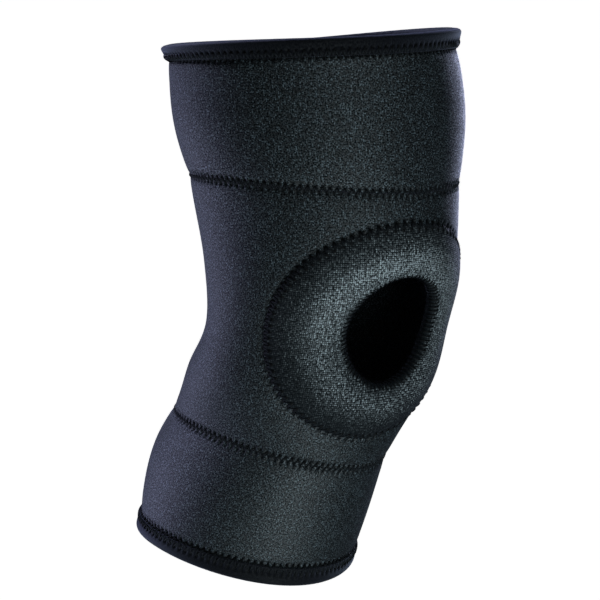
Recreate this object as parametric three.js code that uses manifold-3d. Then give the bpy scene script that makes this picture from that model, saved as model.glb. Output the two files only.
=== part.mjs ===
// Knee compression sleeve: a bent tube of stretch neoprene, sewn from three panels,
// with a raised ring of padding round an open kneecap and a knitted tape over each end.
//
// Millimetres, +Z up. The origin is on the tube's axis, level with the middle of the kneecap
// opening, which faces -Y. The tube's worn form is symmetric about X = 0, and the sewn lines
// on it lean a little to one side.
import * as THREE from "three";
import { LoftGeometry } from "three/addons/geometries/LoftGeometry.js";
import { mergeVertices } from "three/addons/utils/BufferGeometryUtils.js";
import Module from "manifold-3d";

// Driving dimensions
const WALL = 3; // neoprene with a knit face on both sides
const GAP = 0.4; // clearance between pieces that are sewn together
const PANEL_SWELL = 0.9; // how far a panel bulges between its two ends
const SEAM_PINCH = 1.4; // how far the face sinks at a sewn seam
const SEAM_REACH = 5; // distance over which that pinch fades away

const OPENING_WIDTH = 46.5;
const OPENING_HEIGHT = 52;
const PAD_WIDTH = 104;
const PAD_HEIGHT = 99;
const PAD_EDGE = 1.6; // height of the pad's outer edge above the knee panel
const PAD_CREST = 5; // height of its crest
const PAD_LIP = 1.6; // height at the opening, where stitches press it thin

const TAPE = 0.9; // binding tape
const TOP_ROLL = 3.2; // how far the thigh binding would flare from its sewn edge to its end
const BOTTOM_ROLL = 0.4; // the same at the calf, where the tape grips
const ROLL_START = 0.7; // share of a binding's height where it starts to round over the end
const BINDING_FOLD = 2.5; // tape left above the wall's raw edge

// The worn form, from the calf end up: the height of each section's middle, how far that
// middle is set back, its half width, its depths before and behind, and how many degrees its
// front is raised.
const FORM_SECTIONS = [
  { height: -152, setBack: 85.5, halfWidth: 57.8, front: 65.8, back: 57.5, raised: -15 },
  { height: -93, setBack: 58.5, halfWidth: 54, front: 67, back: 66.5, raised: -12.5 },
  { height: -61, setBack: 36.5, halfWidth: 52.5, front: 66.5, back: 66, raised: -9.5 },
  { height: -35, setBack: 16, halfWidth: 59.5, front: 63, back: 63.5, raised: -5 },
  { height: -5, setBack: 1.5, halfWidth: 59.5, front: 58, back: 54.5, raised: 0.5 },
  { height: 25, setBack: -3.5, halfWidth: 62, front: 65, back: 60, raised: 0 },
  { height: 55, setBack: 0, halfWidth: 64.5, front: 73, back: 67.5, raised: 1.5 },
  { height: 95, setBack: 6.5, halfWidth: 70.5, front: 77, back: 72.5, raised: 3.5 },
  { height: 143, setBack: 16.5, halfWidth: 72, front: 78.5, back: 73, raised: 6 },
];

// Lines round the form: the mean height, how much the front lies above that and the back below,
// how much both lie above the two sides, and how much the +X side lies above the -X side, halved.
const LINES = {
  bottomEnd: { height: -137.5, frontRise: 8, sideFall: -2, lean: -2.5 },
  bottomTape: { height: -128, frontRise: 8, sideFall: -1, lean: -3 },
  calfSeam: { height: -70, frontRise: 5, sideFall: -2, lean: -5 },
  thighSeam: { height: 66, frontRise: -0.5, sideFall: -1.5, lean: -2.5 },
  topTape: { height: 127.5, frontRise: -1, sideFall: -0.5, lean: 0.5 },
  topEnd: { height: 136, frontRise: -0.5, sideFall: -1, lean: 1 },
};

const STEPS_AROUND = 48;
const PANEL_ROWS = 8;
const KNEE_ROWS = 14;
const PAD_STEPS = 48;
const PAD_ROWS = 8;

const PANEL_COLOUR = 0x24262b;
const PAD_COLOUR = 0x2a2e33;
const TAPE_COLOUR = 0x15151a;

const { clamp, degToRad, lerp } = THREE.MathUtils;

// A point on the worn form. The angle runs from the front towards +X.
const formSections = new THREE.CubicInterpolant(
  FORM_SECTIONS.map((row) => row.height),
  FORM_SECTIONS.flatMap((row) => [row.setBack, row.halfWidth, row.front, row.back, row.raised]),
  5,
);

function formPoint(angle, height) {
  const [setBack, halfWidth, front, back, raised] = formSections.evaluate(height);
  const forward = Math.cos(angle) * (Math.cos(angle) > 0 ? front : back);
  const tilt = degToRad(raised);
  return new THREE.Vector3(
    halfWidth * Math.sin(angle),
    setBack - forward * Math.cos(tilt),
    height + forward * Math.sin(tilt),
  );
}

// A point that stands off the form by the given distance, square to its surface.
function sleevePoint(angle, height, offset) {
  const turn = 0.01;
  const rise = 0.5;
  const around = formPoint(angle + turn, height).sub(formPoint(angle - turn, height));
  const along = formPoint(angle, height + rise).sub(formPoint(angle, height - rise));
  const outward = around.cross(along).normalize();
  return formPoint(angle, height).addScaledVector(outward, offset);
}

function lineHeight(line, angle) {
  const { height, frontRise, sideFall, lean } = line;
  return (
    height +
    frontRise * Math.cos(angle) +
    sideFall * Math.cos(2 * angle) +
    lean * Math.sin(angle)
  );
}

// A solid swept once round the form, clockwise from above. The outline gives its closed section
// at an angle, running up the outside and down the inside.
function ringGeometry(outlineAt) {
  const sections = [];
  for (let step = STEPS_AROUND; step >= 0; step--) {
    const angle = ((step % STEPS_AROUND) / STEPS_AROUND) * 2 * Math.PI;
    sections.push(outlineAt(angle));
  }
  return new LoftGeometry(sections, { closed: true });
}

// Panels: the lines where each one ends, how far short of them its wall stops, and the stitched
// lines that pull it in.
const SEAM_SHORT = GAP / 2;
const FOLD_SHORT = BINDING_FOLD + GAP;
const PANELS = {
  thigh_panel: {
    low: LINES.thighSeam,
    high: LINES.topEnd,
    lowShort: SEAM_SHORT,
    highShort: FOLD_SHORT,
    stitched: [LINES.thighSeam, LINES.topTape],
  },
  knee_panel: {
    low: LINES.calfSeam,
    high: LINES.thighSeam,
    lowShort: SEAM_SHORT,
    highShort: SEAM_SHORT,
    stitched: [LINES.calfSeam, LINES.thighSeam],
  },
  calf_panel: {
    low: LINES.bottomEnd,
    high: LINES.calfSeam,
    lowShort: FOLD_SHORT,
    highShort: SEAM_SHORT,
    stitched: [LINES.bottomTape, LINES.calfSeam],
  },
};

// How far a panel's face stands off the form: swollen midway between its two stitched
// lines, pinched at both, and as flat as at the stitches where it runs on under a binding.
function panelFace(panel, angle, height) {
  const [low, high] = panel.stitched.map((line) => lineHeight(line, angle));
  const inside = clamp(height, low, high);
  const swell = PANEL_SWELL * Math.sin((Math.PI * (inside - low)) / (high - low)) ** 2;
  const pinchAt = (distance) => SEAM_PINCH * Math.exp(-distance / SEAM_REACH);
  return swell - pinchAt(inside - low) - pinchAt(high - inside);
}

function panelGeometry(panel, rows) {
  return ringGeometry((angle) => {
    const low = lineHeight(panel.low, angle) + panel.lowShort;
    const high = lineHeight(panel.high, angle) - panel.highShort;
    const outside = [];
    const inside = [];
    for (let row = 0; row <= rows; row++) {
      const share = (1 - Math.cos((Math.PI * row) / rows)) / 2; // closer rows near both ends
      const height = lerp(low, high, share);
      outside.push(sleevePoint(angle, height, panelFace(panel, angle, height)));
      inside.unshift(sleevePoint(angle, height, -WALL));
    }
    return [...outside, ...inside];
  });
}

// Kneecap opening and the pad round it, as ovals on the front of the knee panel
const kneeHalfWidth = formSections.evaluate(0)[1];
const halfAngle = (width) => Math.asin(width / 2 / kneeHalfWidth);

// A point of the pad: reach is 0 at the opening's edge and 1 at the pad's outline, and the
// offset is from the knee panel's face.
function padPoint(turn, reach, offset) {
  const angle = Math.cos(turn) * lerp(halfAngle(OPENING_WIDTH), halfAngle(PAD_WIDTH), reach);
  const height = (Math.sin(turn) * lerp(OPENING_HEIGHT, PAD_HEIGHT, reach)) / 2;
  return sleevePoint(angle, height, panelFace(PANELS.knee_panel, angle, height) + offset);
}

function padLoop(reach, offset) {
  const loop = [];
  for (let step = 0; step < PAD_STEPS; step++) {
    loop.push(padPoint((step / PAD_STEPS) * 2 * Math.PI, reach, offset));
  }
  return loop;
}

// The pad's section: flat on the panel, a low outer edge, a round crest, and a lip at the opening.
function padGeometry() {
  const top = [
    { reach: 1, height: PAD_EDGE * 0.6 },
    { reach: 0.98, height: PAD_EDGE },
    { reach: 0.82, height: lerp(PAD_EDGE, PAD_CREST, 0.32) },
    { reach: 0.64, height: lerp(PAD_EDGE, PAD_CREST, 0.68) },
    { reach: 0.46, height: lerp(PAD_EDGE, PAD_CREST, 0.93) },
    { reach: 0.3, height: PAD_CREST },
    { reach: 0.16, height: lerp(PAD_LIP, PAD_CREST, 0.8) },
    { reach: 0.06, height: lerp(PAD_LIP, PAD_CREST, 0.36) },
    { reach: 0, height: PAD_LIP },
  ];
  const loops = top.map((row) => padLoop(row.reach, row.height));
  for (let row = 0; row <= PAD_ROWS; row++) {
    loops.push(padLoop(row / PAD_ROWS, GAP));
  }
  return new LoftGeometry([...loops, loops[0]], { closed: true });
}

// A plug through the knee panel, the shape of the kneecap opening.
function openingPlug() {
  const past = 4;
  const depths = [-WALL - past, past];
  return new LoftGeometry(
    depths.map((depth) => padLoop(0, depth)),
    { closed: true, capStart: true, capEnd: true },
  );
}

// Bindings: tape folded round a panel's raw end, sewn down at one edge and rolled at the other.
// The pinched wall lies in the slot between the two sides of the tape.
function bindingGeometry(sewnLine, endLine, roll) {
  const shares = [0, 0.3, 0.6, 0.82, 0.94];
  const rollOut = (share) => roll * share;
  const roundOff = (share) => {
    const past = Math.max(0, (share - ROLL_START) / (1 - ROLL_START));
    return Math.sqrt(1 - past * past);
  };
  const slotOut = GAP - SEAM_PINCH;
  const slotIn = -WALL - GAP;
  const middle = (slotOut + slotIn) / 2;
  const half = (slotOut - slotIn) / 2 + TAPE;
  return ringGeometry((angle) => {
    const sewn = lineHeight(sewnLine, angle);
    const end = lineHeight(endLine, angle);
    const fold = end - Math.sign(end - sewn) * BINDING_FOLD;
    const place = (share, side) =>
      sleevePoint(angle, lerp(sewn, end, share), middle + side * roundOff(share));
    const outside = shares.map((share) => place(share, half + rollOut(share)));
    const inside = shares.map((share) => place(share, -half)).reverse();
    const slot = [
      sleevePoint(angle, sewn, slotIn),
      sleevePoint(angle, fold, slotIn),
      sleevePoint(angle, fold, slotOut),
      sleevePoint(angle, sewn, slotOut),
    ];
    const outline = [...outside, sleevePoint(angle, end, middle), ...inside, ...slot];
    return end > sewn ? outline : outline.reverse();
  });
}

// Boolean cut of one closed geometry by another
const wasm = await Module();
wasm.setup();

function solidOf(geometry) {
  const bare = new THREE.BufferGeometry();
  bare.setAttribute("position", geometry.getAttribute("position"));
  bare.setIndex(geometry.index);
  const merged = mergeVertices(bare, 1e-4);
  return new wasm.Manifold(
    new wasm.Mesh({
      numProp: 3,
      vertProperties: merged.getAttribute("position").array,
      triVerts: new Uint32Array(merged.index.array),
    }),
  );
}

function cut(geometry, tool) {
  const mesh = solidOf(geometry).subtract(solidOf(tool)).getMesh();
  const result = new THREE.BufferGeometry();
  result.setAttribute("position", new THREE.BufferAttribute(mesh.vertProperties, 3));
  result.setIndex(new THREE.BufferAttribute(mesh.triVerts, 1));
  result.computeVertexNormals();
  return result;
}

// Assembly
const sleeve = new THREE.Group();

function addPiece(name, geometry, color) {
  const material = new THREE.MeshStandardMaterial({ color, roughness: 0.85, metalness: 0 });
  const mesh = new THREE.Mesh(geometry, material);
  mesh.name = name;
  sleeve.add(mesh);
}

const kneeTube = panelGeometry(PANELS.knee_panel, KNEE_ROWS);
addPiece("top_binding", bindingGeometry(LINES.topTape, LINES.topEnd, TOP_ROLL), TAPE_COLOUR);
addPiece("thigh_panel", panelGeometry(PANELS.thigh_panel, PANEL_ROWS), PANEL_COLOUR);
addPiece("knee_panel", cut(kneeTube, openingPlug()), PANEL_COLOUR);
addPiece("patella_pad", padGeometry(), PAD_COLOUR);
addPiece("calf_panel", panelGeometry(PANELS.calf_panel, PANEL_ROWS), PANEL_COLOUR);
addPiece(
  "bottom_binding",
  bindingGeometry(LINES.bottomTape, LINES.bottomEnd, BOTTOM_ROLL),
  TAPE_COLOUR,
);

export default sleeve;
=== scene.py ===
"""Looks of an open-kneecap compression sleeve: knit panels, ring pad, bound ends and stitching."""

import math
from typing import NamedTuple

import bmesh
import bpy
import numpy as np
from bpy.props import FloatProperty, FloatVectorProperty, IntProperty, PointerProperty
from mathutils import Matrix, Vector


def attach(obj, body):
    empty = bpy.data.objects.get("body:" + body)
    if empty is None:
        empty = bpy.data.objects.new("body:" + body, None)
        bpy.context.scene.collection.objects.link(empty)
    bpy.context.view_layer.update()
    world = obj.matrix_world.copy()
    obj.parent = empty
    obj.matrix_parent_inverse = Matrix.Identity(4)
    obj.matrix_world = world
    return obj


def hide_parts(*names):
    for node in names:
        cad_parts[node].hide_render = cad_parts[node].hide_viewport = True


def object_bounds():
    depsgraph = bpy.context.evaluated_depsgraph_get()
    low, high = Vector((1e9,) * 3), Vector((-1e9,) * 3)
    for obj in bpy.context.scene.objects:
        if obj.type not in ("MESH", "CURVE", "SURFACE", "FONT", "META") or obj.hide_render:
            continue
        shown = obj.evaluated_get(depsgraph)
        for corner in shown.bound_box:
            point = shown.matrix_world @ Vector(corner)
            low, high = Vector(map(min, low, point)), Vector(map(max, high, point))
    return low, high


bl_info = {
    "name": "Knee Sleeve",
    "version": (1, 0, 0),
    "blender": (4, 5, 0),
    "location": "View3D > Sidebar > Knee Sleeve",
    "description": "Builds a sewn neoprene knee sleeve with an open kneecap on its packed frame",
    "category": "Mesh",
}

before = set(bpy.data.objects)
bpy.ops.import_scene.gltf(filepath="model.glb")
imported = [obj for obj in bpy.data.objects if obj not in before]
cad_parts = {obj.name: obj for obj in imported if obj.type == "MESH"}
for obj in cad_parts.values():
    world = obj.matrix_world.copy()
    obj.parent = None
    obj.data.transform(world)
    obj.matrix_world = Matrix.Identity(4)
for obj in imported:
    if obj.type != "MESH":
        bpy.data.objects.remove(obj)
CAD_BOX = [list(map(float, corner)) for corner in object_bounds()]
BODY = "root"
MM = 0.001
FULL_TURN = 2 * math.pi
# Name of the vertex attribute that carries painted light and shade for cloth and thread
PAINTED_LIGHT = "catch"


class FormSection(NamedTuple):
    """One level of the worn form, in millimetres, with its front raised by some degrees."""

    height: float
    set_back: float
    half_width: float
    front: float
    back: float
    raised: float


class FormLine(NamedTuple):
    """A line round the form, in millimetres: its mean height, the front's rise over it, the sides'
    fall, how much higher it lies on +X, and how far off it the needle enters the panels."""

    height: float
    front_rise: float
    side_fall: float
    lean: float
    holes: float


class Panel(NamedTuple):
    """A panel's end lines, how far short of them it stops, the stitched lines that pinch it, whether
    its needle holes at the lower one are a row's far holes, its rows of faces, and its flat cut, which
    is not used."""

    low: str
    high: str
    low_short: str
    high_short: str
    pinch_low: str
    pinch_high: str
    far_holes: bool
    rows: int
    cut: tuple


class Crease(NamedTuple):
    """A fold behind the bend: its height, depth and half width in millimetres, and its reach either
    side in radians."""

    height: float
    depth: float
    half_width: float
    reach: float


class Ripple(NamedTuple):
    """A slow wave of the cloth: its waves round the form, its turn for each metre of height, where it
    starts, and its share."""

    around: int
    along: float
    start: float
    share: float


FORM_SECTIONS = (
    FormSection(-152, 85.5, 57.8, 65.8, 57.5, -15),
    FormSection(-93, 58.5, 54, 67, 66.5, -12.5),
    FormSection(-61, 36.5, 52.5, 66.5, 66, -9.5),
    FormSection(-35, 16, 59.5, 63, 63.5, -5),
    FormSection(-5, 1.5, 59.5, 58, 54.5, 0.5),
    FormSection(25, -3.5, 62, 65, 60, 0),
    FormSection(55, 0, 64.5, 73, 67.5, 1.5),
    FormSection(95, 6.5, 70.5, 77, 72.5, 3.5),
    FormSection(143, 16.5, 72, 78.5, 73, 6),
)
LINES = {
    "bottom_end": FormLine(-137.5, 8, -2, -2.5, 0),
    "bottom_tape": FormLine(-128, 8, -1, -3, 1.8),
    "calf_seam": FormLine(-70, 5, -2, -5, 1.7),
    "thigh_seam": FormLine(66, -0.5, -1.5, -2.5, 1.7),
    "top_tape": FormLine(127.5, -1, -0.5, 0.5, 0.9),
    "top_end": FormLine(136, -0.5, -1, 1, 0),
}
PANELS = {
    "thigh_panel": Panel(
        "thigh_seam", "top_end", "seam", "fold", "thigh_seam", "top_tape", True, 70, (0.41, 0.067)
    ),
    "knee_panel": Panel(
        "calf_seam", "thigh_seam", "seam", "seam", "calf_seam", "thigh_seam", True, 150, (0.355, 0.142)
    ),
    "calf_panel": Panel(
        "bottom_end", "calf_seam", "fold", "seam", "bottom_tape", "calf_seam", False, 70, (0.35, 0.073)
    ),
}
BACK_CREASES = (
    Crease(24, 0.7, 5, 0.9),
    Crease(9, 1.3, 5.5, 1.15),
    Crease(-8, 1.0, 5, 1.0),
    Crease(-22, 0.5, 4.5, 0.8),
)
CREASE_RISE = 7 * MM
RIPPLES = (
    Ripple(3, 31, 0.7, 1),
    Ripple(5, -47, 2.1, 0.8),
    Ripple(2, 83, 4.0, 0.6),
)
RIPPLE_MARGIN = 10 * MM
TAPE_RIPPLE = 0.2 * MM

# Panels: the two rings that a wall is turned as, and the cut and pressed edge of the opening
OUTER_RING = 2
INNER_RING = 1
INSIDE_ROWS = 24
CUT_HEM = 1.1 * MM
PRESSED_SHARE = 0.12

# Needle holes, and how much painted shade darkens the colour in them
HOLE_SPREAD = 1.2 * MM
HOLE_SHADE = 0.95
PAD_HOLES = 1.8 * MM
PAD_HOLE_SHADE = 0.9

# Ring pad: places as shares of the way from the opening's edge to the outline, that way in metres,
# and how much longer than straight its width is round the panel
PAD_CREST_AT = 0.34
PAD_ROW_OUT = 1.065
PAD_ROW_IN = 0.925
PAD_LIP_THICK = 0.022
PAD_LIP_END = 0.02
PAD_WAY = 0.026
PAD_WRAP = 1.12
PAD_SPANS = 80
PAD_SPAN_CUTS = 3
PAD_THREAD = 1.4

# Bindings, as shares of the way from the sewn edge to the end
TAPE_STITCH_TOP = 0.34
ROLL_START = 0.7
WALL_END = 0.74

# Flat cloth
MEAN_RADIUS = 0.062


def length_setting(name, description, default):
    """A length that the sidebar shows."""
    return FloatProperty(name=name, description=description, default=default, unit="LENGTH")


def colour_setting(name, description, default):
    """A colour that the sidebar shows."""
    return FloatVectorProperty(
        name=name, description=description, default=default, subtype="COLOR"
    )


class SleeveSizes(bpy.types.PropertyGroup):
    """Sizes of the sewn pieces."""

    wall: length_setting("Wall", "Thickness of a panel", 0.003)
    gap: length_setting("Gap", "Clearance between sewn pieces", 0.0004)
    swell: length_setting("Swell", "Bulge of a panel midway", 0.0009)
    pinch: length_setting("Pinch", "How deep a seam pulls its panels", 0.0014)
    pinch_reach: length_setting("Pinch Reach", "Distance that pinch fades over", 0.005)
    pucker: length_setting("Pucker", "Dimple at each needle hole", 0.001)
    ripple: length_setting("Ripple", "Slow waves of the stretched cloth", 0.00035)
    opening_width: length_setting("Opening Width", "Kneecap opening, across", 0.0465)
    opening_height: length_setting("Opening Height", "Kneecap opening, up", 0.052)
    pad_width: length_setting("Pad Width", "Ring pad, straight across", 0.104)
    pad_height: length_setting("Pad Height", "Ring pad, from top to bottom", 0.099)
    pad_edge: length_setting("Pad Edge", "Height of its sewn edge", 0.0014)
    pad_crest: length_setting("Pad Crest", "Height of its crest", 0.005)
    pad_lip: length_setting("Pad Lip", "Height at the opening's edge", 0.0014)
    edge_wall: length_setting("Edge Wall", "Panel as pressed at the opening", 0.0017)
    tape: length_setting("Tape", "Thickness of the binding tape", 0.0009)
    top_roll: length_setting("Top Roll", "Flare of the thigh binding", 0.0032)
    bottom_roll: length_setting("Bottom Roll", "Flare of the calf binding", 0.0004)
    fold: length_setting("Fold", "Tape past the wall's raw end", 0.0025)
    thread: length_setting("Thread", "Thickness of the sewing thread", 0.0007)
    stitch_pitch: length_setting("Stitch Pitch", "One full zigzag", 0.0036)
    overcast_pitch: length_setting("Overcast Pitch", "Step round the opening", 0.0021)
    spans_around: IntProperty(
        name="Spans Around", description="Spans round a panel", default=60
    )
    span_cuts: IntProperty(name="Span Cuts", description="Cuts across each span", default=7)


class SleeveColours(bpy.types.PropertyGroup):
    """Colours of the cloths and thread."""

    panel_ground: colour_setting("Panel Ground", "Yarn in shade", (0.0003, 0.0004, 0.0005))
    panel_fleck: colour_setting("Panel Fleck", "Yarn that catches light", (0.13, 0.17, 0.195))
    pad_ground: colour_setting("Pad Ground", "Pad cover in shade", (0.0004, 0.0005, 0.0006))
    pad_fleck: colour_setting("Pad Fleck", "Pad yarn that catches light", (0.38, 0.425, 0.445))
    tape_ground: colour_setting("Tape Ground", "Binding tape in shade", (0.0002, 0.0002, 0.0003))
    tape_rib: colour_setting("Tape Rib", "Ribs of the tape", (0.0012, 0.0012, 0.0018))
    thread_dark: colour_setting("Thread Dark", "Thread", (0.0004, 0.0005, 0.0006))
    thread_light: colour_setting("Thread Light", "Thread plies", (0.022, 0.026, 0.031))
    gleam: colour_setting("Gleam", "Tint of the knit's soft gloss", (0.66, 0.86, 1.0))
    haze: colour_setting("Haze", "Bloom of the knit at grazing angles", (0.7, 0.75, 1.0))


class StageSettings(bpy.types.PropertyGroup):
    """Camera and floor."""

    azimuth: FloatProperty(
        name="Azimuth", description="Camera's way round", default=math.radians(-33.2), subtype="ANGLE"
    )
    elevation: FloatProperty(
        name="Elevation", description="Camera's rise", default=math.radians(9.6), subtype="ANGLE"
    )
    distance: length_setting("Distance", "Camera to the sleeve", 1.3)
    view_width: length_setting("View Width", "Width seen at the sleeve", 0.306)
    aim: FloatVectorProperty(
        name="Aim", description="Middle of the view", default=(-0.003, 0.018, 0.0023), subtype="XYZ"
    )
    floor_drop: length_setting("Floor Drop", "Floor below the sleeve", 1.0)
    floor_glow: FloatProperty(
        name="Floor Glow", description="Light from the floor itself", default=1.0
    )
    floor_colour: colour_setting("Floor", "Floor colour", (0.93, 0.93, 0.93))


def sizes():
    """The sizes as set in the sidebar."""
    return bpy.context.scene.sleeve_sizes


def colours():
    """The colours as set in the sidebar."""
    return bpy.context.scene.sleeve_colours


# The worn form

FORM_TABLE = np.array(FORM_SECTIONS, float)
FORM_TABLE[:, :5] *= MM
FORM_TABLE[:, 5] = np.radians(FORM_TABLE[:, 5])
FORM_LEVELS = FORM_TABLE[:, 0]
FORM_VALUES = FORM_TABLE[:, 1:]
CHORDS = np.diff(FORM_VALUES, axis=0) / np.diff(FORM_LEVELS)[:, None]
FORM_SLOPES = np.vstack([CHORDS[:1], (CHORDS[1:] + CHORDS[:-1]) / 2, CHORDS[-1:]])


def form_section(height):
    """Set-back, half width, depths and tilt at each height, on a smooth curve through the table."""
    level = np.clip(np.searchsorted(FORM_LEVELS, height, side="right") - 1, 0, len(FORM_LEVELS) - 2)
    span = FORM_LEVELS[level + 1] - FORM_LEVELS[level]
    p = (height - FORM_LEVELS[level]) / span
    p = p[..., None]
    span = span[..., None]
    start = (2 * p**3 - 3 * p**2 + 1) * FORM_VALUES[level]
    start += (p**3 - 2 * p**2 + p) * span * FORM_SLOPES[level]
    end = (3 * p**2 - 2 * p**3) * FORM_VALUES[level + 1]
    end += (p**3 - p**2) * span * FORM_SLOPES[level + 1]
    return np.moveaxis(start + end, -1, 0)


def form_point(angle, height):
    """Points on the form. The angle runs from the front towards +X."""
    set_back, half_width, front, back, tilt = form_section(height)
    forward = np.cos(angle) * np.where(np.cos(angle) > 0, front, back)
    across = half_width * np.sin(angle)
    return np.stack(
        [across, set_back - forward * np.cos(tilt), height + forward * np.sin(tilt)], axis=-1
    )


def sleeve_point(angle, height, offset):
    """Points that stand off the form by an offset, square to its surface."""
    angle, height, offset = np.broadcast_arrays(
        np.asarray(angle, float), np.asarray(height, float), np.asarray(offset, float)
    )
    turn = 0.01
    rise = 0.5 * MM
    around = form_point(angle + turn, height) - form_point(angle - turn, height)
    along = form_point(angle, height + rise) - form_point(angle, height - rise)
    outward = np.cross(around, along)
    outward /= np.linalg.norm(outward, axis=-1, keepdims=True)
    return form_point(angle, height) + outward * offset[..., None]


def line_height(name, angle):
    """Height of a line at each angle round the form."""
    line = LINES[name]
    bend = line.front_rise * np.cos(angle) + line.side_fall * np.cos(2 * angle)
    return (line.height + bend + line.lean * np.sin(angle)) * MM


def line_length(name):
    """Length of a line round the form."""
    angle = np.linspace(0, FULL_TURN, 181)
    points = sleeve_point(angle, line_height(name, angle), 0)
    return float(np.linalg.norm(np.diff(points, axis=0), axis=1).sum())


def stitches_on(name):
    """Whole zigzags that fit on a line."""
    return round(line_length(name) / sizes().stitch_pitch)


def needle_holes(count, turn, far):
    """1 at a zigzag's near or far needle holes and 0 halfway between them."""
    return (0.5 + (-0.5 if far else 0.5) * np.cos(count * turn)) ** 2


def line_holes(name, angle, away, far):
    """1 in the needle holes along a line and 0 off them, at a distance from the line."""
    spot = np.exp(-(((away - LINES[name].holes * MM) / HOLE_SPREAD) ** 2))
    return needle_holes(stitches_on(name), angle, far) * spot


# The faces of the cloth

def slow_ripple(angle, height):
    """Gentle waves of stretched cloth, between -1 and 1."""
    waves = np.zeros_like(height)
    for wave in RIPPLES:
        waves += wave.share * np.sin(wave.around * angle + wave.along * height + wave.start)
    return waves / sum(wave.share for wave in RIPPLES)


def back_creases(angle, height):
    """Depth of the folds behind the bend."""
    behind = np.abs(np.mod(angle, FULL_TURN) - math.pi)
    depth = np.zeros_like(height)
    for crease in BACK_CREASES:
        fade = np.clip(1 - (behind / crease.reach) ** 2, 0, 1) ** 2
        away = height - crease.height * MM - CREASE_RISE * behind**2
        depth += crease.depth * MM * fade * np.exp(-((away / (crease.half_width * MM)) ** 2))
    return depth


def panel_face(panel, angle, height):
    """How far a panel's face stands off the form: swollen midway, pinched and dimpled at stitches."""
    size = sizes()
    low = line_height(panel.pinch_low, angle)
    high = line_height(panel.pinch_high, angle)
    inside = np.clip(height, low, high)
    face = size.swell * np.sin(math.pi * (inside - low) / (high - low)) ** 2
    for name, away, far in (
        (panel.pinch_low, inside - low, panel.far_holes),
        (panel.pinch_high, high - inside, False),
    ):
        face -= size.pinch * np.exp(-away / size.pinch_reach)
        face -= size.pucker * line_holes(name, angle, away, far)
    if panel is PANELS["knee_panel"]:
        face -= size.pucker * pad_holes(angle, height)
    quiet = np.clip(np.minimum(inside - low, high - inside) / RIPPLE_MARGIN, 0, 1)
    return face + size.ripple * quiet * slow_ripple(angle, height) - back_creases(angle, height)


def knee_face(angle, height):
    """The knee panel's face."""
    return panel_face(PANELS["knee_panel"], angle, height)


def half_angle(width):
    """Angle round the knee panel that spans half of a straight width."""
    half_width = float(form_section(np.zeros(1))[1][0])
    return math.asin(width / 2 / half_width)


def pad_place(turn, reach):
    """Angle and height on the form: reach is 0 at the opening's edge and 1 at the pad's outline."""
    size = sizes()
    wide = half_angle(size.opening_width) * (1 - reach) + half_angle(size.pad_width) * reach
    tall = size.opening_height / 2 * (1 - reach) + size.pad_height / 2 * reach
    return np.cos(turn) * wide, np.sin(turn) * tall


def pad_stitches():
    """Whole zigzags that fit on the pad's outline."""
    size = sizes()
    outline = math.pi * (size.pad_width * PAD_WRAP + size.pad_height) / 2
    return round(outline / size.stitch_pitch)


def pad_holes(angle, height):
    """1 in the needle holes just outside the pad's outline and 0 off them."""
    size = sizes()
    across = (np.mod(angle + math.pi, FULL_TURN) - math.pi) / half_angle(size.pad_width)
    upward = height / (size.pad_height / 2)
    away = (np.hypot(across, upward) - 1) * size.pad_height / 2
    spot = np.exp(-(((away - PAD_HOLES) / HOLE_SPREAD) ** 2))
    return needle_holes(pad_stitches(), np.arctan2(upward, across), False) * spot


def pad_rise(reach):
    """Height of the pad over the knee panel: a low sewn edge, a pillow, and a crest rolled inwards."""
    size = sizes()
    fullness = 0.85
    outer = np.clip((1 - reach) / (1 - PAD_CREST_AT), 0, 1)
    pillow = np.sin(outer * math.pi / 2) ** fullness
    pillow = size.pad_edge + (size.pad_crest - size.pad_edge) * pillow
    inner = np.clip((PAD_CREST_AT - reach) / PAD_CREST_AT, 0, 1)
    roll = size.pad_lip + (size.pad_crest - size.pad_lip) * np.sqrt(1 - inner**2)
    return np.where(reach > PAD_CREST_AT, pillow, roll)


# Meshes

def turned_ring(profile, spans, cuts):
    """Spins a closed profile of radius and height once about the vertical, and splits each span."""
    made = bmesh.new()
    corners = [made.verts.new((radius, 0, rise)) for radius, rise in profile]
    edges = [made.edges.new(pair) for pair in zip(corners, corners[1:] + corners[:1])]
    bmesh.ops.spin(
        made,
        geom=corners + edges,
        cent=(0, 0, 0),
        axis=(0, 0, 1),
        angle=FULL_TURN,
        steps=spans,
        use_merge=True,
    )
    around = [edge for edge in made.edges if runs_around(edge)]
    bmesh.ops.subdivide_edges(made, edges=around, cuts=cuts, use_grid_fill=True)
    bmesh.ops.recalc_face_normals(made, faces=made.faces)
    made.verts.index_update()
    return made


def runs_around(edge):
    """Whether both ends of an edge lie on one circle of a turned ring."""
    near = 1e-5
    one, other = (vert.co for vert in edge.verts)
    return abs(one.z - other.z) < near and abs(one.xy.length - other.xy.length) < near


def ring_places(made):
    """Turn, radius and rise of each vertex of a turned ring."""
    across, back, rise = np.array([vert.co for vert in made.verts]).T
    return np.arctan2(back, across), np.hypot(across, back), rise


def lay_on_form(made, angle, height, offset, flat=None):
    """Moves each vertex onto the form, and keeps its place on the flat cloth as the UV map."""
    points = sleeve_point(angle, height, offset)
    for vert, point in zip(made.verts, points):
        vert.co = point
    turns, rises = flat or (angle, height)
    cloth = made.loops.layers.uv.new("Cloth")
    for face in made.faces:
        places = [turns[vert.index] for vert in face.verts]
        wraps = max(places) - min(places) > math.pi
        for loop in face.loops:
            turn = turns[loop.vert.index]
            if wraps and turn < 0:
                turn += FULL_TURN
            loop[cloth].uv = (turn * MEAN_RADIUS, rises[loop.vert.index])


def keep_painted_light(made, shares):
    """Keeps on each vertex its painted light and shade, a share that scales the colour of its loops."""
    layer = made.verts.layers.float.new(PAINTED_LIGHT)
    for vert, share in zip(made.verts, shares):
        vert[layer] = share


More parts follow.
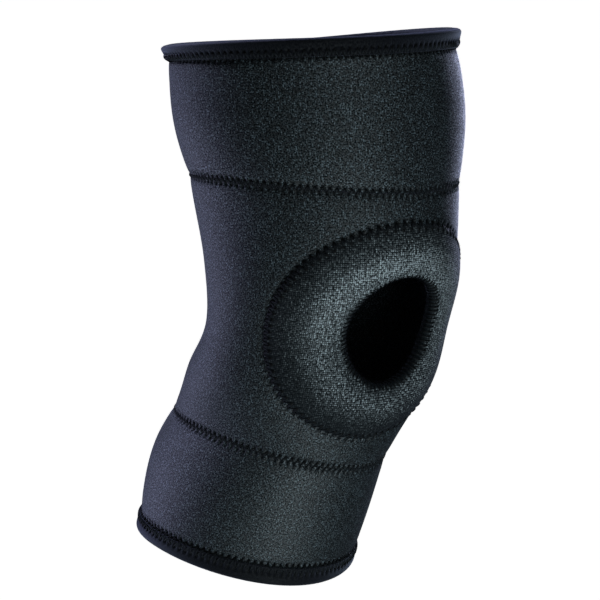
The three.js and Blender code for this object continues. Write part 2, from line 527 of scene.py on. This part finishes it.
def panel_painted_shade(panel, angle, height):
    """Painted shade of a panel's loops: a share that is less in the needle holes, where shade falls."""
    shaded_holes = np.zeros_like(height)
    for line, way, far in ((panel.pinch_low, 1, panel.far_holes), (panel.pinch_high, -1, False)):
        away = way * (height - line_height(line, angle))
        shaded_holes += line_holes(line, angle, away, far)
    if panel is PANELS["knee_panel"]:
        shaded_holes += pad_holes(angle, height)
    return 1 - HOLE_SHADE * np.minimum(shaded_holes, 1)


def add_piece(made, name, material, replaced=None):
    """Turns a bmesh into a smooth piece that rides on the sleeve."""
    bmesh.ops.recalc_face_normals(made, faces=made.faces)
    if made.calc_volume(signed=True) < 0:
        bmesh.ops.reverse_faces(made, faces=made.faces)
    mesh = bpy.data.meshes.new(name)
    made.to_mesh(mesh)
    made.free()
    mesh.shade_smooth()
    sharp = math.radians(60)
    mesh.set_sharp_from_angle(angle=sharp)
    mesh.materials.append(material)
    return settle(bpy.data.objects.new(name, mesh), replaced)


def settle(piece, replaced=None):
    """Links a piece, sets what carries it, and hides the solid it replaces."""
    bpy.context.scene.collection.objects.link(piece)
    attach(piece, BODY)
    if replaced:
        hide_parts(replaced)
    return piece


def thread_piece(name, paths, shares, girths, closed):
    """A piece of thread that follows paths of equal length. At each of a path's points, the shares give
    its painted light and shade, which scale the colour of its plies, and the girths how thick it is."""
    size = sizes()
    curve = bpy.data.curves.new(name + "_path", "CURVE")
    curve.dimensions = "3D"
    curve.bevel_depth = size.thread / 2
    curve.bevel_resolution = 1
    for path in paths:
        spline = curve.splines.new("POLY")
        spline.points.add(len(path) - 1)
        spline.points.foreach_set("co", np.column_stack([path, np.ones(len(path))]).ravel())
        spline.points.foreach_set("radius", girths)
        spline.use_cyclic_u = closed
        spline.use_smooth = True
    guide = bpy.data.objects.new(name + "_guide", curve)
    bpy.context.scene.collection.objects.link(guide)
    evaluated = guide.evaluated_get(bpy.context.evaluated_depsgraph_get())
    mesh = bpy.data.meshes.new_from_object(evaluated)
    bpy.data.objects.remove(guide)
    bpy.data.curves.remove(curve)
    mesh.name = name
    mesh.shade_smooth()
    ring = len(mesh.vertices) // (len(paths) * len(shares))
    # The thread's painted light and shade, kept on its vertices
    layer = mesh.attributes.new(PAINTED_LIGHT, "FLOAT", "POINT")
    layer.data.foreach_set("value", np.repeat(np.tile(shares, len(paths)), ring))
    if not closed:
        close_ends(mesh)
    mesh.materials.clear()
    mesh.materials.append(thread_material())
    return settle(bpy.data.objects.new(name, mesh))


def close_ends(mesh):
    """Fills the open ends of a mesh's tubes."""
    made = bmesh.new()
    made.from_mesh(mesh)
    bmesh.ops.holes_fill(made, edges=[edge for edge in made.edges if edge.is_boundary])
    bmesh.ops.recalc_face_normals(made, faces=made.faces)
    made.to_mesh(mesh)
    made.free()


# Materials

class KnitLook(NamedTuple):
    """A knit's loop width, loop height, grain and relief in metres, the light that all its loops
    catch and how few catch more, its roughness, how far lit loops fall below it, its gloss, its
    speckled coat and its sheen."""

    column: float
    row: float
    grain: float
    bump: float
    relief_share: float
    fleck_power: float
    roughness: float
    polish: float
    gloss: float
    coat: float
    sheen: float


PANEL_LOOK = KnitLook(0.00075, 0.0007, 0.0007, 0.00012, 0.05, 3.0, 0.7, 1.6, 0.06, 0.5, 0.03)
PAD_LOOK = KnitLook(0.00095, 0.0009, 0.0009, 0.00018, 0.2, 2.0, 0.72, 0.7, 0.12, 0.3, 0.05)
TAPE_LOOK = KnitLook(0.0009, 0.0026, 0.0006, 0.0001, 0.35, 6.0, 0.7, 0.1, 0.01, 0.09, 0.22)
LOOP_LEAN = 0.4
ARM_DEPTH = 0.45
GRAIN_RELIEF = 2.5
SPECKLE_GAIN = 8.0
SPECKLE_DROP = -3.0
SPECKLE_LEAST = 0.05
PATCH_SIZE = 0.009
KNIT_BUMP = 0.7
SMOOTHEST = 0.3
COAT_ROUGHNESS = 0.6
COAT_IOR = 1.6
SHEEN_ROUGHNESS = 0.5
PLY_SCALE = 2200.0
PLY_DEPTH = 0.0001
PLY_BUMP = 0.6


def fill(node, inputs):
    """Links or sets a node's inputs."""
    for socket, value in inputs.items():
        if isinstance(value, bpy.types.NodeSocket):
            node.id_data.links.new(value, node.inputs[socket])
        else:
            node.inputs[socket].default_value = value


def add_node(tree, kind, inputs=None, **settings):
    """Adds a node with its settings and inputs."""
    made = tree.nodes.new(kind)
    for key, value in settings.items():
        setattr(made, key, value)
    fill(made, inputs or {})
    return made


def calculate(tree, operation, *values):
    """The output of a Math node."""
    return add_node(tree, "ShaderNodeMath", dict(enumerate(values)), operation=operation).outputs[0]


def mixed_colour(tree, light, dark, bright):
    """The output of a node that mixes two colours by the light caught."""
    inputs = {0: light, 6: (*dark, 1), 7: (*bright, 1)}
    return add_node(tree, "ShaderNodeMix", inputs, data_type="RGBA").outputs[2]


def new_material(name):
    """A new material, its node tree and its shader."""
    material = bpy.data.materials.new(name)
    material.use_nodes = True
    return material, material.node_tree, material.node_tree.nodes["Principled BSDF"]


def knit_group():
    """Columns and rows of knit loops: their relief, how much light each loop catches, and a speckle."""
    name = "Knit Loops"
    if name in bpy.data.node_groups:
        return bpy.data.node_groups[name]
    tree = bpy.data.node_groups.new(name, "ShaderNodeTree")
    face = tree.interface
    face.new_socket("Cloth", in_out="INPUT", socket_type="NodeSocketVector")
    for socket in ("Column", "Row", "Relief Share", "Fleck Power", "Grain Size", "Patch Size"):
        face.new_socket(socket, in_out="INPUT", socket_type="NodeSocketFloat")
    for socket in ("Relief", "Light", "Speckle"):
        face.new_socket(socket, in_out="OUTPUT", socket_type="NodeSocketFloat")
    given = tree.nodes.new("NodeGroupInput").outputs
    cloth = add_node(tree, "ShaderNodeSeparateXYZ", {0: given["Cloth"]}).outputs
    column = calculate(tree, "DIVIDE", cloth[0], given["Column"])
    row = calculate(tree, "DIVIDE", cloth[1], given["Row"])
    lean = calculate(tree, "MULTIPLY", calculate(tree, "PINGPONG", column, 0.5), LOOP_LEAN)
    leaning = calculate(tree, "ADD", row, lean)
    rib = calculate(tree, "SINE", calculate(tree, "MULTIPLY", column, math.pi))
    rib = calculate(tree, "ABSOLUTE", rib)
    arms = calculate(tree, "SINE", calculate(tree, "MULTIPLY", leaning, FULL_TURN))
    arms = calculate(tree, "MULTIPLY_ADD", arms, ARM_DEPTH, 1 - ARM_DEPTH)
    relief = calculate(tree, "MULTIPLY", rib, arms)
    loop = add_node(
        tree,
        "ShaderNodeCombineXYZ",
        {0: calculate(tree, "FLOOR", column), 1: calculate(tree, "FLOOR", leaning)},
    ).outputs[0]
    chance = add_node(tree, "ShaderNodeTexWhiteNoise", {"Vector": loop}, noise_dimensions="2D")
    fleck = calculate(tree, "POWER", chance.outputs["Value"], given["Fleck Power"])
    grain_scale = calculate(tree, "DIVIDE", 1.0, given["Grain Size"])
    grain = add_node(
        tree, "ShaderNodeTexNoise", {"Vector": given["Cloth"], "Scale": grain_scale, "Detail": 1.0}
    ).outputs["Fac"]
    patch_scale = calculate(tree, "DIVIDE", 1.0, given["Patch Size"])
    patch = add_node(
        tree,
        "ShaderNodeTexNoise",
        {"Vector": given["Cloth"], "Scale": patch_scale, "Detail": 3.0, "Roughness": 0.6},
    ).outputs["Fac"]
    patch = calculate(tree, "ADD", patch, 0.5)
    shine = calculate(tree, "ADD", fleck, given["Relief Share"])
    shine = calculate(tree, "MULTIPLY", shine, relief)
    speckle = calculate(tree, "MULTIPLY_ADD", grain, SPECKLE_GAIN, SPECKLE_DROP)
    speckle = calculate(tree, "MAXIMUM", speckle, SPECKLE_LEAST)
    light = calculate(tree, "MULTIPLY", calculate(tree, "MULTIPLY", shine, patch), speckle)
    relief = calculate(tree, "MULTIPLY_ADD", grain, GRAIN_RELIEF, relief)
    fill(
        tree.nodes.new("NodeGroupOutput"), {"Relief": relief, "Light": light, "Speckle": speckle}
    )
    return tree


def knit_material(name, ground, fleck, look, painted_light_name=None):
    """A knit cloth: dark ground, loops that catch light, relief, and a haze at grazing angles. The last
    argument names a vertex attribute of painted light and shade, which scales the loops' colour and
    coat."""
    if name in bpy.data.materials:
        return bpy.data.materials[name]
    material, tree, shader = new_material(name)
    knit = add_node(tree, "ShaderNodeGroup", node_tree=knit_group())
    fill(
        knit,
        {
            "Cloth": add_node(tree, "ShaderNodeUVMap", uv_map="Cloth").outputs["UV"],
            "Column": look.column,
            "Row": look.row,
            "Relief Share": look.relief_share,
            "Fleck Power": look.fleck_power,
            "Grain Size": look.grain,
            "Patch Size": PATCH_SIZE,
        },
    )
    light = knit.outputs["Light"]
    coat = calculate(tree, "MULTIPLY", knit.outputs["Speckle"], look.coat)
    if painted_light_name:
        # Painted light and shade from the vertex attribute scale the colour and coat
        painted_light = add_node(tree, "ShaderNodeAttribute", attribute_name=painted_light_name).outputs["Fac"]
        light = calculate(tree, "MULTIPLY", light, painted_light)
        coat = calculate(tree, "MULTIPLY", coat, painted_light)
    rough = calculate(tree, "MULTIPLY_ADD", light, -look.polish, look.roughness)
    relief = add_node(
        tree,
        "ShaderNodeBump",
        {"Height": knit.outputs["Relief"], "Distance": look.bump, "Strength": KNIT_BUMP},
    )
    fill(
        shader,
        {
            "Base Color": mixed_colour(tree, light, ground, fleck),
            "Roughness": calculate(tree, "MAXIMUM", rough, SMOOTHEST),
            "Normal": relief.outputs["Normal"],
            "Coat Weight": calculate(tree, "MINIMUM", coat, 1.0),
            "Coat Roughness": COAT_ROUGHNESS,
            "Coat IOR": COAT_IOR,
            "Specular IOR Level": look.gloss,
            "Specular Tint": (*colours().gleam, 1),
            "Sheen Weight": look.sheen,
            "Sheen Roughness": SHEEN_ROUGHNESS,
            "Sheen Tint": (*colours().haze, 1),
        },
    )
    return material


def panel_material():
    """Charcoal knit of the panels, in fine upright columns."""
    tone = colours()
    # The vertex attribute darkens the panels' colour in the needle holes: painted shade
    return knit_material("charcoal_knit", tone.panel_ground, tone.panel_fleck, PANEL_LOOK, PAINTED_LIGHT)


def pad_material():
    """Square knit of the pad's cover, lighter on the crest, partly for the stretched knit and partly a
    painted highlight, with painted light and shade kept on its vertices.
    """
    tone = colours()
    return knit_material("pad_cover_knit", tone.pad_ground, tone.pad_fleck, PAD_LOOK, PAINTED_LIGHT)


def tape_material():
    """Black ribbed tape."""
    tone = colours()
    return knit_material("ribbed_tape", tone.tape_ground, tone.tape_rib, TAPE_LOOK)


def thread_material():
    """Twisted thread, with a painted highlight where it arches and painted shade, black, where it
    enters the cloth.
    """
    name = "sewing_thread"
    if name in bpy.data.materials:
        return bpy.data.materials[name]
    tone = colours()
    material, tree, shader = new_material(name)
    place = add_node(tree, "ShaderNodeTexCoord").outputs["Object"]
    plies = add_node(
        tree, "ShaderNodeTexNoise", {"Vector": place, "Scale": PLY_SCALE, "Detail": 2.0}
    ).outputs["Fac"]
    painted_light = add_node(tree, "ShaderNodeAttribute", attribute_name=PAINTED_LIGHT).outputs["Fac"]
    light = calculate(tree, "MULTIPLY", plies, painted_light)
    relief = add_node(
        tree, "ShaderNodeBump", {"Height": plies, "Distance": PLY_DEPTH, "Strength": PLY_BUMP}
    )
    fill(
        shader,
        {
            "Base Color": mixed_colour(tree, light, tone.thread_dark, tone.thread_light),
            "Normal": relief.outputs["Normal"],
            "Roughness": 0.5,
            "Specular IOR Level": 0.1,
        },
    )
    return material


def lit_floor_material(stage):
    """A pale floor that glows, so that it stays even."""
    material, _, shader = new_material("lit_floor")
    fill(
        shader,
        {
            "Base Color": (*stage.floor_colour, 1),
            "Roughness": 0.9,
            "Specular IOR Level": 0,
            "Emission Color": (1, 1, 1, 1),
            "Emission Strength": stage.floor_glow,
        },
    )
    return material


# Pieces

class SLEEVE_OT_panels(bpy.types.Operator):
    """Make the thigh, knee and calf panels"""

    bl_idname = "sleeve.panels"
    bl_label = "Panels"

    def execute(self, context):
        for name, panel in PANELS.items():
            self.make_panel(name, panel)
        return {"FINISHED"}

    def make_panel(self, name, panel):
        """A tube of wall cloth between two lines, with the opening cut in the knee panel."""
        size = sizes()
        outside = [(OUTER_RING, share) for share in self.row_shares(panel.rows)]
        inside = [(INNER_RING, share) for share in reversed(self.row_shares(INSIDE_ROWS))]
        made = turned_ring(outside + inside, size.spans_around, size.span_cuts)
        if name == "knee_panel":
            angle, height, radius = self.cut_opening(made, panel)
        else:
            angle, height, radius = self.places(made, panel)
        face = panel_face(panel, angle, height)
        inner = np.full_like(face, -size.wall)
        if name == "knee_panel":
            pressed = np.exp((1 - self.oval_share(angle, height)) / PRESSED_SHARE)
            inner += (size.wall - size.edge_wall) * pressed
        lay_on_form(made, angle, height, np.where(radius > INNER_RING + 0.5, face, inner))
        # Painted shade in the needle holes, kept on the vertices
        keep_painted_light(made, panel_painted_shade(panel, angle, height))
        add_piece(made, name + "_cloth", panel_material(), name)

    def row_shares(self, rows):
        """Shares of a panel's height for its rows, closer together near both ends."""
        even = np.arange(rows + 1) / rows
        return ((even + (1 - np.cos(math.pi * even)) / 2) / 2).tolist()

    def places(self, made, panel):
        """Angle and height on the form of each vertex of a turned wall, and its radius in the ring."""
        size = sizes()
        angle, radius, share = ring_places(made)
        short = {"seam": size.gap / 2, "fold": size.fold + size.gap}
        low = line_height(panel.low, angle) + short[panel.low_short]
        high = line_height(panel.high, angle) - short[panel.high_short]
        return angle, low + (high - low) * share, radius

    def cut_opening(self, made, panel):
        """Cuts the oval opening, draws its ragged edge onto the oval and closes the wall there."""
        angle, height, _ = self.places(made, panel)
        oval = self.oval_share(angle, height)
        within = [
            face
            for face in made.faces
            if sum(oval[vert.index] for vert in face.verts) < len(face.verts)
        ]
        bmesh.ops.delete(made, geom=within, context="FACES")
        made.verts.index_update()
        angle, height, radius = self.places(made, panel)
        oval = self.oval_share(angle, height)
        rim = [edge for edge in made.edges if edge.is_boundary]
        for place in {vert.index for edge in rim for vert in edge.verts}:
            angle[place] /= oval[place]
            height[place] /= oval[place]
        bmesh.ops.bridge_loops(made, edges=rim)
        return angle, height, radius

    def oval_share(self, angle, height):
        """1 on the edge of the cut oval, which the pad's rolled edge hides, and less inside it."""
        size = sizes()
        wide = half_angle(size.opening_width + 2 * CUT_HEM)
        return np.hypot(angle / wide, height / (size.opening_height / 2 + CUT_HEM))


class SLEEVE_OT_patella_pad(bpy.types.Operator):
    """Make the ring pad round the kneecap opening"""

    bl_idname = "sleeve.patella_pad"
    bl_label = "Ring Pad"

    def execute(self, context):
        size = sizes()
        made = turned_ring(self.profile(), PAD_SPANS, PAD_SPAN_CUTS)
        turn, radius, rise = ring_places(made)
        reach = radius - 1
        depth, fade = 0.007, 0.05
        scallop = depth * np.cos(opening_stitches() * turn) * np.exp(-np.abs(reach) / fade)
        angle, height = pad_place(turn, reach + scallop)
        around_lip = np.where(reach < PAD_LIP_END, (size.pad_lip - rise) / PAD_WAY, 0)
        flat = pad_place(turn, reach - around_lip)
        lay_on_form(made, angle, height, knee_face(angle, height) + rise, flat)
        # The cover's painted light and shade, kept on its vertices
        keep_painted_light(made, self.catch(turn, reach))
        piece = add_piece(made, "patella_pad_cover", pad_material(), "patella_pad")
        return {"FINISHED"}

    def catch(self, turn, reach):
        """Painted light and shade of the cover's loops: lighter on the crest, partly for its stretched
        knit and partly a painted highlight; a painted highlight towards the top; painted shade towards
        the bottom, towards -X, at the opening's edge and in the needle holes of the outline."""
        crest_at, crest_spread = 0.3, 0.26
        edge_at, edge_spread = 0.01, 0.07
        hole_spread = 0.04
        # Lighter on the crest: partly the stretched knit, partly a painted highlight
        crest = 0.22 + 1.3 * np.exp(-(((reach - crest_at) / crest_spread) ** 2))
        # Painted highlight towards the top, painted shade towards the bottom and towards -X
        painted_facing_light = 1.05 + 0.5 * np.sin(turn) - 0.3 * np.clip(-np.cos(turn), 0, 1)
        # Painted shade at the opening's edge, where the cover rolls in
        edge = np.clip((reach - edge_at) / edge_spread, 0.06, 1)
        # Painted shade in the needle holes of the outline
        holes = needle_holes(pad_stitches(), turn, True)
        holes = holes * np.exp(-(((reach - PAD_ROW_IN) / hole_spread) ** 2))
        return crest * painted_facing_light * edge * (1 - PAD_HOLE_SHADE * holes)

    def profile(self):
        """Reach plus one, and rise: over the pillow, down the lip, and back along the panel."""
        size = sizes()
        over = np.linspace(1, 0, 40) ** 1.2
        points = [(1.0, size.gap)]
        points += [(reach, float(pad_rise(np.array(reach)))) for reach in over]
        points += [(0.0, rise) for rise in np.linspace(size.pad_lip, -size.edge_wall, 7)[1:]]
        points += [(PAD_LIP_THICK, rise) for rise in np.linspace(-size.edge_wall, size.gap, 5)]
        points += [(reach, size.gap) for reach in np.linspace(PAD_LIP_THICK, 1, 12)[1:-1]]
        return [(1 + reach, rise) for reach, rise in points]


def opening_stitches():
    """Whole overcast stitches that fit round the opening."""
    size = sizes()
    return round(math.pi * (size.opening_width + size.opening_height) / 2 / size.overcast_pitch)


class SLEEVE_OT_bindings(bpy.types.Operator):
    """Make the tapes folded over both ends"""

    bl_idname = "sleeve.bindings"
    bl_label = "Bindings"

    def execute(self, context):
        size = sizes()
        self.make_binding("top_binding", "top_tape", "top_end", size.top_roll)
        self.make_binding("bottom_binding", "bottom_tape", "bottom_end", size.bottom_roll)
        return {"FINISHED"}

    def make_binding(self, name, sewn_line, end_line, roll):
        """A tape round one end, from its sewn edge over the roll and down the inside. Offsets are
        stretched while the ring is turned, so that its circles lie well apart."""
        size = sizes()
        stretch = 100
        near = 0.1 * MM
        hole_spread = 0.12
        slot_out = size.gap - size.pinch
        slot_in = -size.wall - size.gap
        middle = (slot_out + slot_in) / 2
        half = (slot_out - slot_in) / 2 + size.tape
        out = np.linspace(0, 1, 22)
        outline = [(share, middle + (half + roll * share) * round_end(share)) for share in out]
        outline += [(share, middle - half * round_end(share)) for share in out[-2::-1]]
        outline += [(0, slot_in), (WALL_END, slot_in), (WALL_END, slot_out), (0, slot_out)]
        profile = [(1 + share, stretch * offset) for share, offset in outline]
        made = turned_ring(profile, size.spans_around, size.span_cuts)
        angle, radius, rise = ring_places(made)
        share = radius - 1
        offset = rise / stretch
        outer = offset > slot_out + near
        sewn = line_height(sewn_line, angle)
        height = sewn + (line_height(end_line, angle) - sewn) * share
        unrolled = np.abs(height - sewn) + middle + half - offset
        holes = outer * needle_holes(stitches_on(sewn_line), angle, True)
        holes = holes * np.exp(-(((share - TAPE_STITCH_TOP) / hole_spread) ** 2))
        offset = offset - size.pucker * holes + TAPE_RIPPLE * slow_ripple(angle, height)
        lay_on_form(made, angle, height, offset, (angle, unrolled))
        add_piece(made, name + "_tape", tape_material(), name)


def round_end(share):
    """Rounds a binding's thickness off towards its end."""
    past = max(0, (share - ROLL_START) / (1 - ROLL_START))
    return math.sqrt(max(0, 1 - past * past))


class SLEEVE_OT_zigzag_rows(bpy.types.Operator):
    """Sew the zigzag rows on the seams, the bindings and the pad's outline"""

    bl_idname = "sleeve.zigzag_rows"
    bl_label = "Zigzag Rows"

    def execute(self, context):
        size = sizes()
        self.sew_seam("thigh_seam_stitch", "thigh_seam", "knee_panel", "thigh_panel")
        self.sew_seam("calf_seam_stitch", "calf_seam", "calf_panel", "knee_panel")
        self.sew_binding("top_binding", "top_tape", "top_end", "thigh_panel", size.top_roll)
        self.sew_binding("bottom_binding", "bottom_tape", "bottom_end", "calf_panel", size.bottom_roll)
        self.sew_pad()
        return {"FINISHED"}

    def zigzag(self, count):
        """A closed path of thread that dips at needle holes on two sides in turn and arches between:
        its turn, its share of the way across and its lift, then its painted light and shade (a painted
        highlight on each arch, painted shade at the holes) and its girth."""
        sink = 0.3 * MM
        arch = 0.55 * MM
        # Thicker at the holes, where it is painted black, to stand in for their shade: painted shade
        hole_girth = 1.6
        steps = 6
        hole = np.arange(2 * count) * math.pi / count
        share = np.arange(steps) / steps
        bow = np.sin(math.pi * share)
        turn = (hole[:, None] + share[None, :] * math.pi / count).ravel()
        rising = (np.arange(2 * count) % 2 == 0)[:, None]
        across = np.where(rising, share[None, :], 1 - share[None, :]).ravel()
        lift = np.tile(arch * bow**0.7 - sink, 2 * count)
        # Painted highlight on each arch and painted shade at the holes
        light = np.tile(bow**3, 2 * count)
        girth = np.tile(hole_girth - (hole_girth - 1) * bow, 2 * count)
        return turn, across, lift, (light, girth)

    def sew_seam(self, name, line, lower, upper):
        """A row across the seam of two panels."""
        half = LINES[line].holes * MM
        turn, across, lift, looks = self.zigzag(stitches_on(line))
        seam = line_height(line, turn)
        low_face = panel_face(PANELS[lower], turn, seam - half)
        high_face = panel_face(PANELS[upper], turn, seam + half)
        height = seam + half * (2 * across - 1)
        offset = low_face * (1 - across) + high_face * across + lift
        thread_piece(name, [sleeve_point(turn, height, offset)], *looks, closed=True)

    def sew_binding(self, name, sewn_line, end_line, panel, roll):
        """A row from the panel just off the tape's edge to a third of the way over the tape."""
        size = sizes()
        arch = 0.4 * MM
        turn, across, lift, looks = self.zigzag(stitches_on(sewn_line))
        sewn = line_height(sewn_line, turn)
        way = line_height(end_line, turn) - sewn
        hole = sewn - np.sign(way) * LINES[sewn_line].holes * MM
        height = hole * (1 - across) + (sewn + way * TAPE_STITCH_TOP) * across
        panel_side = panel_face(PANELS[panel], turn, hole)
        tape_side = size.gap - size.pinch + size.tape + roll * TAPE_STITCH_TOP
        offset = panel_side * (1 - across) + tape_side * across + lift
        offset += arch * np.sin(math.pi * across)
        thread_piece(name + "_stitch", [sleeve_point(turn, height, offset)], *looks, closed=True)

    def sew_pad(self):
        """A row over the pad's outline."""
        turn, across, lift, looks = self.zigzag(pad_stitches())
        reach = PAD_ROW_OUT + (PAD_ROW_IN - PAD_ROW_OUT) * across
        angle, height = pad_place(turn, reach)
        rise = np.where(reach > 1, 0, pad_rise(np.minimum(reach, 1)))
        straight = across * float(pad_rise(np.array(PAD_ROW_IN)))
        offset = knee_face(angle, height) + np.maximum(straight, rise * across) + lift
        light, girth = looks
        path = sleeve_point(angle, height, offset)
        thread_piece("pad_outline_stitch", [path], light, PAD_THREAD * girth, closed=True)


class SLEEVE_OT_overcast_edge(bpy.types.Operator):
    """Sew the overcast stitches round the kneecap opening"""

    bl_idname = "sleeve.overcast_edge"
    bl_label = "Overcast Edge"

    def execute(self, context):
        size = sizes()
        count = opening_stitches()
        clear = 0.2 * MM
        # From a hole in the cover over the lip to the inside of the panel
        reach = np.array([0.085, 0.065, 0.04, 0.015, -0.004, -0.012, -0.012, -0.002, 0.02])
        rise = pad_rise(np.maximum(reach, 0)) + clear
        rise[0] -= 3 * clear
        under = -size.edge_wall - clear
        rise[4:] = np.array([size.pad_lip, 0.3 * size.pad_lip, 0.6 * under, under, under])
        slant = np.linspace(0.5, -0.5, len(reach)) * FULL_TURN / count
        paths = []
        for stitch in range(count):
            turn = (stitch + 0.5) * FULL_TURN / count + slant
            angle, height = pad_place(turn, reach)
            paths.append(sleeve_point(angle, height, knee_face(angle, height) + rise))
        light = np.full(len(reach), 0.1)
        girth = np.ones(len(reach))
        thread_piece("opening_overcast", paths, light, girth, closed=False)
        return {"FINISHED"}


class SLEEVE_OT_cloth_facts(bpy.types.Operator):
    """Leave every panel and tape as it is"""

    bl_idname = "sleeve.cloth_facts"
    bl_label = "Cloth Facts"

    def execute(self, context):
        return {"FINISHED"}


# Stage

class Softbox(NamedTuple):
    """A square light: the way to it from the sleeve in degrees, its side, its power and its colour."""

    name: str
    azimuth: float
    elevation: float
    side: float
    power: float
    colour: tuple


COOL = (0.8, 0.95, 1)
BLUE = (0.62, 0.65, 1)
PALE_BLUE = (0.64, 0.7, 1)
LIGHTS = (
    Softbox("front_softbox", -14, -8, 0.45, 2.4, COOL),
    Softbox("high_softbox", -8, 50, 0.5, 2.6, COOL),
    Softbox("low_softbox", -28, -54, 0.5, 5.8, COOL),
    Softbox("left_softbox", -152, -15, 0.5, 3.2, BLUE),
    Softbox("back_softbox", -165, 40, 0.5, 11.5, BLUE),
    Softbox("right_softbox", 122, 6, 0.5, 4.6, PALE_BLUE),
)
LIGHT_DISTANCE = 1.0
AMBIENT = 0.015
FLOOR_RADIUS = 40


class SLEEVE_OT_stage(bpy.types.Operator):
    """Set the floor, the lights and the camera"""

    bl_idname = "sleeve.stage"
    bl_label = "Stage"

    def execute(self, context):
        stage = context.scene.sleeve_stage
        self.add_floor(stage)
        self.add_world()
        self.add_camera(stage)
        aim = Vector(stage.aim)
        for light in LIGHTS:
            self.add_light(aim, light)
        context.scene.view_settings.view_transform = "Standard"
        return {"FINISHED"}

    def direction(self, azimuth, elevation):
        """Unit vector from the sleeve towards an azimuth and an elevation."""
        level = math.cos(elevation)
        return Vector((math.sin(azimuth) * level, -math.cos(azimuth) * level, math.sin(elevation)))

    def add_floor(self, stage):
        """A wide pale floor below the sleeve."""
        made = bmesh.new()
        bmesh.ops.create_circle(made, cap_ends=True, segments=96, radius=FLOOR_RADIUS)
        bmesh.ops.translate(made, verts=made.verts, vec=(0, 0, CAD_BOX[0][2] - stage.floor_drop))
        mesh = bpy.data.meshes.new("floor")
        made.to_mesh(mesh)
        made.free()
        mesh.materials.append(lit_floor_material(stage))
        floor = bpy.data.objects.new("floor", mesh)
        bpy.context.scene.collection.objects.link(floor)
        floor.visible_diffuse = False
        floor.visible_glossy = False

    def add_world(self):
        """Faint light from all round, and a white background for the camera."""
        world = bpy.data.worlds.new("studio")
        world.use_nodes = True
        tree = world.node_tree
        seen = tree.nodes.new("ShaderNodeLightPath").outputs["Is Camera Ray"]
        strength = add_node(tree, "ShaderNodeMix", {0: seen, 2: AMBIENT, 3: 1.0}, data_type="FLOAT")
        fill(tree.nodes["Background"], {"Color": (1, 1, 1, 1), "Strength": strength.outputs[0]})
        bpy.context.scene.world = world

    def add_light(self, aim, light):
        """A square softbox that faces the sleeve."""
        lamp = bpy.data.lights.new(light.name, "AREA")
        lamp.size = light.side
        lamp.energy = light.power
        lamp.color = light.colour
        softbox = bpy.data.objects.new(light.name, lamp)
        way = self.direction(math.radians(light.azimuth), math.radians(light.elevation))
        softbox.location = aim + way * LIGHT_DISTANCE
        softbox.rotation_euler = way.to_track_quat("Z", "Y").to_euler()
        softbox.visible_camera = False
        bpy.context.scene.collection.objects.link(softbox)

    def add_camera(self, stage):
        """The camera, aimed so that the square view has the stated width at the sleeve."""
        lens = bpy.data.cameras.new("camera")
        lens.lens = lens.sensor_width * stage.distance / stage.view_width
        camera = bpy.data.objects.new("camera", lens)
        way = self.direction(stage.azimuth, stage.elevation)
        camera.location = Vector(stage.aim) + way * stage.distance
        camera.rotation_euler = way.to_track_quat("Z", "Y").to_euler()
        bpy.context.scene.collection.objects.link(camera)
        bpy.context.scene.camera = camera


class SLEEVE_PT_sidebar(bpy.types.Panel):
    """Lists the sleeve's pieces and settings"""

    bl_label = "Knee Sleeve"
    bl_space_type = "VIEW_3D"
    bl_region_type = "UI"
    bl_category = "Knee Sleeve"

    def draw(self, context):
        layout = self.layout
        for operator in OPERATORS:
            layout.operator(operator.bl_idname)
        scene = context.scene
        for group in (scene.sleeve_sizes, scene.sleeve_colours, scene.sleeve_stage):
            box = layout.box()
            for name in group.__annotations__:
                box.prop(group, name)


OPERATORS = (
    SLEEVE_OT_panels,
    SLEEVE_OT_patella_pad,
    SLEEVE_OT_bindings,
    SLEEVE_OT_zigzag_rows,
    SLEEVE_OT_overcast_edge,
    SLEEVE_OT_cloth_facts,
    SLEEVE_OT_stage,
)
CLASSES = (SleeveSizes, SleeveColours, StageSettings, *OPERATORS, SLEEVE_PT_sidebar)


def register():
    """Registers the classes and their settings on the scene."""
    for made in CLASSES:
        bpy.utils.register_class(made)
    bpy.types.Scene.sleeve_sizes = PointerProperty(type=SleeveSizes)
    bpy.types.Scene.sleeve_colours = PointerProperty(type=SleeveColours)
    bpy.types.Scene.sleeve_stage = PointerProperty(type=StageSettings)


def unregister():
    """Removes them again."""
    del bpy.types.Scene.sleeve_stage
    del bpy.types.Scene.sleeve_colours
    del bpy.types.Scene.sleeve_sizes
    for made in reversed(CLASSES):
        bpy.utils.unregister_class(made)


def main():
    """Builds every piece and the stage."""
    register()
    bpy.ops.sleeve.panels()
    bpy.ops.sleeve.patella_pad()
    bpy.ops.sleeve.bindings()
    bpy.ops.sleeve.zigzag_rows()
    bpy.ops.sleeve.overcast_edge()
    bpy.ops.sleeve.cloth_facts()
    bpy.ops.sleeve.stage()


if __name__ == "__main__":
    main()
